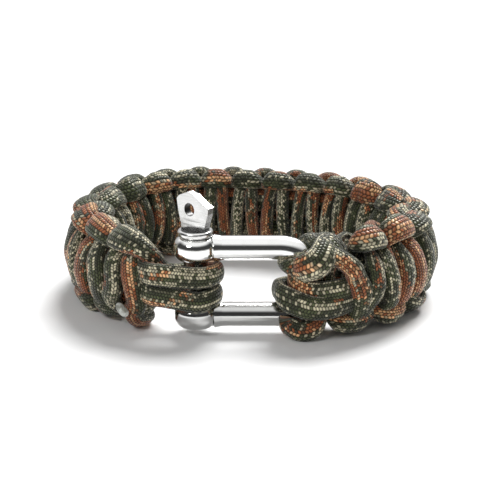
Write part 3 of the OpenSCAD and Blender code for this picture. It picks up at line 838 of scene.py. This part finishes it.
# The loops that they make round the shackle, and where each starts on the dye's pattern, mm
# columns: place x, y, z, facing x, y, z, thickness, width; two rows a line
loops = dict(
    pin_cord_upper=dict(start=20.0, rows=(
        (-24, -25.4, 13.2, -0.6, -0.8, 0, 2.7, 4.2), (-21.6, -28.5, 13.3, -0.4, -0.9, 0, 2.7, 4.5),
        (-19.8, -30.9, 13.4, -0.3, -0.95, 0.05, 2.8, 4.7), (-17, -32.2, 13.5, -0.1, -1, 0.05, 2.8, 4.7),
        (-13.6, -32.4, 13.2, 0, -1, 0.05, 2.7, 4.6), (-10, -32.2, 13, 0.1, -1, 0, 2.6, 4.5),
        (-7.5, -30.6, 13, 0.75, -0.6, 0, 2.5, 4.4), (-6.5, -27.9, 13, 1, 0, 0, 2.5, 4.3),
        (-7.7, -25.1, 12.5, 0.7, 0.7, 0, 2.5, 4), (-11, -23.6, 11.9, 0, 1, 0, 2.6, 3.9),
        (-15, -23.7, 11.5, 0, 1, 0, 2.7, 3.8), (-19, -22.8, 11.6, 0.4, 0.9, 0, 2.7, 3.8),
        (-22.5, -20.5, 12, 0.6, 0.8, 0, 2.7, 4),
    )),
    pin_cord_lower=dict(start=75.0, rows=(
        (-24, -25.4, 9.4, -0.6, -0.8, 0, 2.7, 4), (-21.6, -28.5, 9.3, -0.4, -0.9, 0, 2.7, 4.2),
        (-19.9, -30.8, 9, -0.3, -0.95, 0, 2.7, 4.3), (-17, -32, 8.9, -0.1, -1, -0.1, 2.7, 4.4),
        (-13.6, -32.3, 8.4, 0, -1, -0.15, 2.7, 4.5), (-10.3, -32.1, 7.9, 0.1, -1, -0.15, 2.6, 4.5),
        (-7.9, -30.7, 8.3, 0.75, -0.6, -0.1, 2.5, 4.4), (-6.8, -28, 8.4, 1, 0, 0, 2.5, 4.2),
        (-7.8, -25.2, 8.3, 0.7, 0.7, 0, 2.5, 4), (-11, -23.7, 7.9, 0, 1, 0, 2.6, 3.9),
        (-15, -23.7, 7.6, 0, 1, 0, 2.7, 3.8), (-19, -22.8, 7.8, 0.4, 0.9, 0, 2.7, 3.8),
        (-22.5, -20.5, 8.2, 0.6, 0.8, 0, 2.7, 4),
    )),
    bow_cord_top=dict(start=2714.0, rows=(
        (22.5, -27, 9, 0.5, -0.8, 0.2, 2, 3), (19.7, -29.4, 13.6, 0.5, -0.8, 0.3, 2, 3),
        (18.2, -30.2, 16.2, 0.5, -0.7, 0.5, 2, 3), (17, -30.2, 18, 0.4, -0.6, 0.7, 2.2, 3.4),
        (16.2, -29.9, 18.9, 0.3, -0.65, 0.7, 2.4, 4.1), (15.3, -29.6, 19.3, 0.3, -0.7, 0.7, 2.7, 4.8),
        (14.7, -31.8, 18.8, 0.25, -0.85, 0.5, 2.8, 5.3), (14, -33.2, 17.6, 0.1, -0.95, 0.3, 3, 5.9),
        (12.6, -33.9, 16.4, 0, -1, 0.15, 3.1, 6.2), (10.9, -33.4, 15.5, -0.25, -0.97, 0, 3, 5.8),
        (9.6, -31.2, 14.5, -0.7, -0.7, 0, 2.8, 5.2), (8.4, -28, 15.6, -1, 0, 0.1, 2.6, 4.6),
        (8.6, -24.9, 15.8, -0.8, 0.7, 0.1, 2.6, 4.2), (10.6, -22, 15.3, -0.2, 1, 0.1, 2.6, 4.2),
        (15, -21.3, 14.6, 0, 1, 0.1, 2.6, 4.2), (20, -21.4, 13.6, 0, 1, 0, 2.6, 4),
    )),
    bow_cord_upper=dict(start=3171.0, rows=(
        (19.3, -25.4, 11.7, 0.7, -0.7, 0.2, 2.6, 4), (18.7, -26.8, 14.9, 0.7, -0.6, 0.3, 2.6, 4),
        (17.9, -28, 17.1, 0.6, -0.6, 0.5, 2.6, 4.2), (16.9, -28.8, 18.8, 0.4, -0.55, 0.75, 2.6, 4.4),
        (15.4, -28.6, 19.6, 0.1, -0.5, 0.86, 2.6, 4.4), (13.6, -27.4, 19.4, -0.1, -0.4, 0.9, 2.6, 4.3),
        (11.8, -25.6, 18.5, -0.3, 0.1, 0.9, 2.6, 4.2), (10.4, -24.2, 16.4, -0.5, 0.7, 0.5, 2.6, 4),
        (9.5, -24.1, 14.3, -0.8, 0.6, 0, 2.6, 4), (9.1, -26.2, 13.2, -1, 0.1, 0, 2.6, 4.2),
        (8.7, -29, 12.2, -0.9, -0.4, 0, 2.7, 4.5), (9.2, -31.5, 11.4, -0.6, -0.8, -0.1, 2.8, 4.8),
        (11, -33, 10.5, -0.2, -1, 0, 2.9, 4.8), (13.6, -33.6, 10.3, 0, -1, 0.1, 3, 4.8),
        (15.9, -33.4, 10.5, 0.1, -1, 0.15, 3, 4.7), (18.2, -32.3, 10.7, 0.3, -1, 0.15, 2.9, 4.5),
        (22.5, -28.3, 11, 0.5, -0.8, 0, 2.6, 4),
    )),
    bow_cord_lower=dict(start=2428.0, rows=(
        (22, -22.6, 9, 0.3, 0.9, 0, 2.6, 4), (17, -23.3, 8.9, 0, 1, 0, 2.6, 4),
        (12, -23.7, 8.9, 0, 1, 0, 2.6, 4), (8, -24.2, 8.9, -0.4, 0.9, 0, 2.6, 4),
        (5.6, -26.4, 9, -0.9, 0.4, 0, 2.6, 4.2), (6, -29.3, 9.4, -1, -0.1, 0, 2.7, 4.6),
        (6.2, -32, 9.5, -0.8, -0.6, 0, 2.8, 5), (7.4, -33.9, 9.1, -0.4, -0.95, 0.05, 2.9, 5.2),
        (9.6, -34.9, 8.4, -0.1, -1, 0.05, 3, 5.2), (11.9, -35.2, 7.8, 0.05, -1, 0, 3, 5),
        (14.3, -34.9, 7.6, 0.15, -1, 0, 3, 4.8), (16.7, -33.9, 7.6, 0.3, -0.95, 0, 2.9, 4.5),
        (19, -32.2, 7.7, 0.5, -0.9, 0, 2.7, 4.2), (22.5, -28.6, 8, 0.5, -0.8, 0, 2.6, 4),
    )),
    bow_cord_bottom=dict(start=330.0, rows=(
        (22, -23.6, 6.4, 0, 0.9, -0.3, 2.6, 4), (18, -23.8, 5, 0, 0.9, -0.4, 2.6, 4),
        (14, -24, 3.4, 0, 0.9, -0.5, 2.6, 4), (11, -24.9, 1.8, -0.2, 0.5, -0.8, 2.6, 4.2),
        (9, -27.4, 1.5, -0.4, 0, -0.9, 2.5, 4.2), (7.7, -30.4, 3.6, -0.7, -0.6, -0.3, 2.5, 4.4),
        (8.2, -32, 2.8, -0.4, -0.9, -0.2, 2.6, 4.7), (9.9, -33.1, 2.3, -0.05, -1, -0.2, 2.7, 4.9),
        (11.7, -33.3, 2.6, 0.15, -1, -0.2, 2.8, 4.9), (13.2, -32.6, 3.5, 0.5, -0.85, -0.15, 2.8, 4.7),
        (14, -31, 4.8, 0.7, -0.7, -0.1, 2.7, 4.4), (15.2, -29.6, 6.1, 0.5, -0.8, 0, 2.6, 4),
        (18.5, -28.2, 7.8, 0.4, -0.8, 0, 2.6, 4), (22.5, -26.8, 7.6, 0.4, -0.8, 0, 2.6, 4),
    )),
)


loopFine = 10

# The middle line of the bow's rod, which the cords lie against and keep clear of
bowRod = dict(bendMiddle=(5.79, 11.5), bendRadius=7.0, y=-27.92, radius=2.5, gap=0.08, turnWithin=1.2)


def keepClear(rows, rod):
    rows = rows.copy()
    x, z = rows[:, 0] - rod["bendMiddle"][0], rows[:, 2] - rod["bendMiddle"][1]
    angle = np.arctan2(z, x)
    bend = rod["bendRadius"]
    nearX = np.where(x > 0, bend * np.cos(angle), x) + rod["bendMiddle"][0]
    nearZ = np.where(x > 0, bend * np.sin(angle), np.copysign(bend, z)) + rod["bendMiddle"][1]
    near = np.stack([nearX, np.full(len(rows), rod["y"]), nearZ], 1)
    away = rows[:, :3] - near
    apart = np.linalg.norm(away, axis=1)
    need = rod["radius"] + rows[:, 6] / 2 + rod["gap"]
    # flat side against the rod where the cord would run into it
    turned = np.clip((need - apart) / rod["turnWithin"], 0, 1)[:, None]
    rows[:, 3:6] = unit(unit(rows[:, 3:6]) * (1 - turned) + unit(away) * turned)
    rows[:, :3] = near + unit(away) * np.maximum(apart, need)[:, None]
    return rows


def makeLoops(table):
    made = []
    for name, loop in table.items():
        rows = smoothRows(loop["rows"], loopFine)
        if name.startswith("bow"):
            rows = keepClear(rows, bowRod)
        piece = sweepCords(name, [rows], loop["start"])
        # it replaces the CAD's loop of the same name
        made.append((piece, name.replace("cord", "loop")))
    return made


def makeCore(c):
    lines = []
    near, far = c["widening"]
    for across in (-1, 1):
        for outward in (-1, 1):
            marks = np.arange(-c["before"], bandLength + c["past"], c["step"])
            row = [across * c["across"], outward * c["outward"], 0, 0, outward, c["thickness"], c["width"]]
            rows = np.column_stack([marks, np.tile(row, (len(marks), 1))])
            inland = np.interp(marks, (near, far, bandLength - far, bandLength - near), (0, 1, 1, 0))
            rows[:, 1] += across * c["moreAcross"] * inland
            rows[:, 7] += c["moreWidth"] * inland
            lines.append(bandRows(rows, weave["halfWidth"]))
    return sweepCords("core_cords", lines, c["dyeStart"], c["sides"])


weavePieces = makeWeave(weave)
core = makeCore(coreCords)
loopPieces = makeLoops(loops)
print("Cords swept:", sum(len(o.data.polygons) for o in weavePieces), "faces in the weave")


# Melted end of the working cord: a short blunt lump with a skin of its own
meltedEnd = dict(
    middle=(-25.8, -29.9, 5.6),
    radius=0.95,
    length=3.4,
    fall=42.0,
    heading=-36.0,
    # blunt ends, a pressed side and a few lumps: size, waves along x, y and z, start
    blunt=0.7,
    pressed=0.92,
    lumps=((0.07, 3, 0, 2, 1), (0.05, 0, 5, -3, 0)),
    grey=colour(206, 208, 202),
    ash=colour(138, 138, 128),
    ashEdge=(0.4, 0.65),
    # noises: scale, detail, roughness
    cloud=(900.0, 3.0, 0.6),
    bumps=(1600.0, 2.0, 0.5),
    roughness=0.38,
    rougher=0.25,
    roughEdge=(0.3, 0.7),
    bumpStrength=0.6,
    bumpHeight=0.12,
)


def makeMeltedEnd(m):
    material, tree, shader = newMaterial("melted_nylon")
    spot = tree.nodes.new("ShaderNodeTexCoord").outputs["Object"]
    cloud = noise(tree, spot, *m["cloud"])
    shown = blendColour(tree, spread(tree, cloud, *m["ashEdge"]), m["grey"], m["ash"])
    wire(tree, shown, shader.inputs["Base Color"])
    rough = spread(tree, cloud, *m["roughEdge"], m["roughness"], m["roughness"] + m["rougher"])
    wire(tree, rough, shader.inputs["Roughness"])
    addBump(tree, shader, noise(tree, spot, *m["bumps"]), m["bumpStrength"], m["bumpHeight"] * mm)
    work = bmesh.new()
    bmesh.ops.create_uvsphere(work, u_segments=28, v_segments=18, radius=1.0)
    fall, heading = math.radians(m["fall"]), math.radians(m["heading"])
    level = math.cos(fall)
    axis = np.array([level * math.cos(heading), level * math.sin(heading), -math.sin(fall)])
    aside = unit(np.cross(axis, [0, 0, 1.0]))
    rise = np.cross(aside, axis)
    for vert in work.verts:
        x, y, z = vert.co
        reach = math.copysign(abs(z) ** m["blunt"], z) * m["length"] / 2
        lump = sum(size * math.sin(a * x + b * y + c * z + d) for size, a, b, c, d in m["lumps"])
        grow = m["radius"] * (1 + lump)
        across = aside * x * grow + rise * y * grow * m["pressed"]
        vert.co = (np.array(m["middle"]) + axis * reach + across) * mm
    mesh = bpy.data.meshes.new("melted_cord_end")
    bmesh.ops.recalc_face_normals(work, faces=work.faces)
    work.to_mesh(mesh)
    work.free()
    mesh.shade_smooth()
    mesh.materials.append(material)
    return newObject("melted_cord_end", mesh)


melted = makeMeltedEnd(meltedEnd)
print("Melted end made")


# Steel: the bow is polished bright, the pin is tumbled a little softer
# shade is the share of painted shade low on the bow
steelLooks = dict(
    shackle_bow=dict(
        tint=(0.90, 0.90, 0.89, 1), roughness=0.08, haze=0.05, wear=0.10,
        eyeRadius=0.0, smudge=0.0, shade=0.42,
    ),
    shackle_pin=dict(
        tint=(0.80, 0.80, 0.79, 1), roughness=0.15, haze=0.14, wear=0.5,
        eyeRadius=1.34, smudge=0.75, shade=0.0,
    ),
)
steelWearAndShade = dict(
    # noises: scale, detail, roughness
    cloud=(260.0, 3.0, 0.6),
    streaks=(900.0, 3.0, 0.65),
    hazeEdge=(0.35, 0.7),
    streakStretch=(0.25, 0.25, 3.0),
    streakDepth=0.03,
    dull=(0.93, 0.93, 0.92, 1),
    dullEdge=(0.4, 0.75),
    # inside the pin's eye the steel is rough and darkened by painted shade; places and heights in mm
    eyePlace=(-11.65, -27.38, 25.93),
    eyeAxis=(-0.643, -0.766, 0.0),
    eyeDark=(0.03, 0.03, 0.03, 1),
    eyeShare=0.93,
    # scuffs low on the flat head, between these heights, fading in and out within these lengths
    scuffHeights=(21.8, 24.6),
    scuffFades=(0.3, 1.0),
    scuffEdge=(0.38, 0.6),
    scuffDark=(0.16, 0.16, 0.16, 1),
    scuffShare=0.6,
    wornRoughness=0.4,
    # painted shade: the bow is painted darker below
    shadeHeights=(8, 13),
    shadeDark=(0.2, 0.2, 0.19, 1),
)


# polish and wear of the steel, with painted shade in the pin's eye and low on the bow
def polishAndShadeGroup(w):
    floats = ("Roughness", "Haze", "Eye radius", "Smudge", "Shade")
    group, given, put = newGroup("Steel polish", floats, ("Tint",), "Roughness")
    g = given.outputs
    maths = partial(calc, group)
    spot = group.nodes.new("ShaderNodeTexCoord").outputs["Object"]
    cloud = noise(group, spot, *w["cloud"])
    stretched = calcVector(group, "MULTIPLY", spot, w["streakStretch"]).outputs[0]
    streaks = noise(group, stretched, *w["streaks"])

    eyePlace = tuple(v * mm for v in w["eyePlace"])
    around = calcVector(group, "SUBTRACT", spot, eyePlace).outputs[0]
    reach = calcVector(group, "CROSS_PRODUCT", around, w["eyeAxis"]).outputs[0]
    reach = calcVector(group, "LENGTH", reach).outputs["Value"]
    eye = maths("LESS_THAN", reach, maths("MULTIPLY", g["Eye radius"], mm))

    split = group.nodes.new("ShaderNodeSeparateXYZ")
    wire(group, spot, split.inputs[0])
    height = split.outputs[2]
    low, high = (v * mm for v in w["scuffHeights"])
    fadeLow, fadeHigh = (v * mm for v in w["scuffFades"])
    band = spread(group, height, low, low + fadeLow)
    band = maths("MULTIPLY", band, spread(group, height, high - fadeHigh, high, 1.0, 0.0))
    scuff = maths("MULTIPLY", band, spread(group, streaks, *w["scuffEdge"]))
    scuff = maths("MULTIPLY", scuff, g["Smudge"])

    rough = maths("MULTIPLY_ADD", spread(group, cloud, *w["hazeEdge"]), g["Haze"], g["Roughness"])
    worn = maths("MULTIPLY", maths("MAXIMUM", eye, scuff), w["wornRoughness"])
    wire(group, maths("MAXIMUM", rough, worn), put.inputs["Roughness"])
    dull = blendColour(group, 1.0, g["Tint"], w["dull"], "MULTIPLY")
    shown = blendColour(group, spread(group, cloud, *w["dullEdge"]), g["Tint"], dull)
    shown = blendColour(group, maths("MULTIPLY", scuff, w["scuffShare"]), shown, w["scuffDark"])
    # painted shade inside the pin's eye
    shown = blendColour(group, maths("MULTIPLY", eye, w["eyeShare"]), shown, w["eyeDark"])
    # painted shade: the bow's colour darkens towards the bottom
    bottom, top = (v * mm for v in w["shadeHeights"])
    lowShade = maths("MULTIPLY", spread(group, height, bottom, top, 1.0, 0.0), g["Shade"])
    shown = blendColour(group, lowShade, shown, w["shadeDark"])
    wire(group, shown, put.inputs["Colour"])
    wire(group, streaks, put.inputs["Height"])
    return group


def dressSteel(looks, w):
    polishAndShade = polishAndShadeGroup(w)
    for node, look in looks.items():
        material, tree, shader = newMaterial("steel_" + node)
        group = useGroup(tree, polishAndShade, look)
        wire(tree, group.outputs["Colour"], shader.inputs["Base Color"])
        wire(tree, group.outputs["Roughness"], shader.inputs["Roughness"])
        shader.inputs["Metallic"].default_value = 1.0
        addBump(tree, shader, group.outputs["Height"], look["wear"], w["streakDepth"] * mm)
        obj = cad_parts[node]
        obj.data.materials.clear()
        obj.data.materials.append(material)


dressSteel(steelLooks, steelWearAndShade)
print("Steel dressed")


# Studio: white floor, white surroundings, dark low behind the camera for the steel to mirror
# lengths in m
studio = dict(
    floorSize=6.0,
    floorWhite=0.94,
    floorVaries=0.01,
    floorGrain=40.0,
    floorFar=(0.05, 0.26),
    floorDark=0.9,
    floorRoughness=0.9,
    floorGloss=0.1,
    skyLight=0.23,
    frontWithin=(0.15, 0.75),
    mirrorTop=1.05,
    mirrorBack=0.5,
    mirrorDark=0.05,
    darkRise=(0.50, 0.86),
    backRise=(0.20, 0.60),
    keyPower=4.6,
    keyPlace=(0.13, 0.31, 0.42),
    keyAngle=32.0,
    frontPower=1.3,
    frontPlace=(-0.34, -0.42, 0.45),
    frontSize=0.22,
    lightAim=(0, 0, 0.01),
)


def addFloor(s):
    half = s["floorSize"] / 2
    mesh = bpy.data.meshes.new("studio_floor")
    corners = [(x * half, y * half, 0) for x, y in ((-1, -1), (1, -1), (1, 1), (-1, 1))]
    mesh.from_pydata(corners, [], [(0, 1, 2, 3)])
    material, tree, shader = newMaterial("paper_floor")
    spot = tree.nodes.new("ShaderNodeTexCoord").outputs["Object"]
    white = s["floorWhite"]
    grain = noise(tree, spot, s["floorGrain"])
    shade = spread(tree, grain, 0.0, 1.0, white - s["floorVaries"], white)
    # painted reflection: for glossy rays only, the far floor is painted darker, so the steel mirrors it
    # dark
    far = spread(tree, calcVector(tree, "LENGTH", spot).outputs["Value"], *s["floorFar"])
    glossy = tree.nodes.new("ShaderNodeLightPath").outputs["Is Glossy Ray"]
    dark = calc(tree, "MULTIPLY", calc(tree, "MULTIPLY", glossy, far), s["floorDark"])
    shade = calc(tree, "MULTIPLY", shade, calc(tree, "SUBTRACT", 1.0, dark))
    wire(tree, vector(tree, shade, shade, shade), shader.inputs["Base Color"])
    shader.inputs["Roughness"].default_value = s["floorRoughness"]
    shader.inputs["Specular IOR Level"].default_value = s["floorGloss"]
    mesh.materials.append(material)
    floor = newObject("studio_floor", mesh)


def addSky(s):
    world = bpy.data.worlds.new("studio_surroundings")
    bpy.context.scene.world = world
    world.use_nodes = True
    tree = world.node_tree
    tree.nodes.clear()
    add = tree.nodes.new
    split = add("ShaderNodeSeparateXYZ")
    wire(tree, add("ShaderNodeTexCoord").outputs["Generated"], split.inputs[0])
    rays = add("ShaderNodeLightPath").outputs
    front = spread(tree, split.outputs[1], *s["frontWithin"], 1.0, 0.0)
    back = calc(tree, "SUBTRACT", 1.0, front)
    ahead = spread(tree, split.outputs[2], *s["darkRise"], s["mirrorDark"], s["mirrorTop"])
    behind = spread(tree, split.outputs[2], *s["backRise"], s["mirrorBack"], s["mirrorTop"])
    mirror = calc(tree, "ADD", calc(tree, "MULTIPLY", ahead, front), calc(tree, "MULTIPLY", behind, back))
    strength = spread(tree, rays["Is Glossy Ray"], 0.0, 1.0, s["skyLight"], mirror)
    strength = spread(tree, rays["Is Camera Ray"], 0.0, 1.0, strength, 1.0)
    light, out = add("ShaderNodeBackground"), add("ShaderNodeOutputWorld")
    light.inputs["Color"].default_value = (1, 1, 1, 1)
    wire(tree, strength, light.inputs["Strength"])
    wire(tree, light.outputs[0], out.inputs[0])


def addLight(data, place, power):
    # aimed at the bracelet
    data.energy = power
    obj = newObject(data.name, data)
    obj.location = place
    aim = np.array(studio["lightAim"]) - np.array(place)
    flat = math.hypot(aim[0], aim[1])
    obj.rotation_euler = (math.atan2(flat, -aim[2]), 0, math.atan2(aim[1], aim[0]) - math.pi / 2)


def addKeyLight(s):
    # far off and wide, so that the whole floor is evenly white and the shadow soft
    data = bpy.data.lights.new("key_light", "SUN")
    data.angle = math.radians(s["keyAngle"])
    addLight(data, s["keyPlace"], s["keyPower"])


def addFrontLight(s):
    data = bpy.data.lights.new("front_light", "AREA")
    data.shape, data.size = "DISK", s["frontSize"]
    addLight(data, s["frontPlace"], s["frontPower"])


addFloor(studio)
addSky(studio)
addKeyLight(studio)
addFrontLight(studio)
bpy.context.scene.view_settings.view_transform = "Standard"
print("Studio lit")


for piece in (*weavePieces, core):
    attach(piece, "bracelet")
    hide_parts("woven_band")
for piece, node in loopPieces:
    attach(piece, "bracelet")
    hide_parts(node)
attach(melted, "bracelet")
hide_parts("melted_end")
